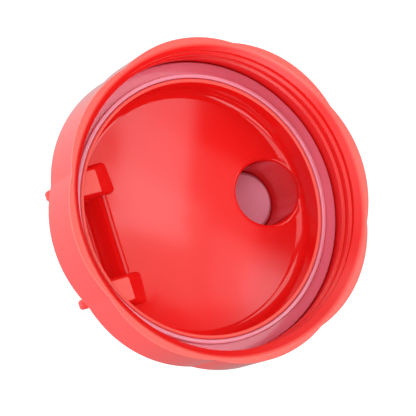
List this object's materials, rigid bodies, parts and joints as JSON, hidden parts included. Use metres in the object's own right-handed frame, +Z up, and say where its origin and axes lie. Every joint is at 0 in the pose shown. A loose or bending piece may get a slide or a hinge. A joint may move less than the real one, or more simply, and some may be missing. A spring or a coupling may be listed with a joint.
{
  "type": "shaker bottle lid",
  "caption": "Round screw-on lid for a shaker bottle, with a lobed grip skirt, a sealed pouring spout under a hinged flip cap, and a folding carry loop.",
  "frame": {"origin": "middle of the rim face, on the thread axis", "axes": "+Z up the thread axis towards the spout's lip, with the lid upright and its opening down; +X from the axis towards the spout; +Y across, along both hinge pins"},
  "size_m": [0.0994, 0.0982, 0.047],
  "materials": {
    "lid_plastic": "semi-gloss red polypropylene",
    "seal_silicone": "satin pink silicone",
    "pin_steel": "drawn stainless rod"
  },
  "bodies": {
    "lid": {"lid_shell": "lid_plastic", "neck_gasket": "seal_silicone", "loop_pin": "pin_steel", "flip_pin": "pin_steel"},
    "loop": {"carry_loop": "lid_plastic"},
    "cap": {"flip_cap": "lid_plastic", "spout_seal": "seal_silicone"}
  },
  "joints": [
    {"name": "loop_hinge", "type": "hinge", "parent": "lid", "child": "loop", "pos_m": [-0.0345, 0, 0.031], "axis": [0, -1, 0], "range_deg": [0, 180]},
    {"name": "flip_hinge", "type": "hinge", "parent": "lid", "child": "cap", "pos_m": [-0.0295, 0, 0.0431], "axis": [0, -1, 0], "range_deg": [0, 130]}
  ]
}
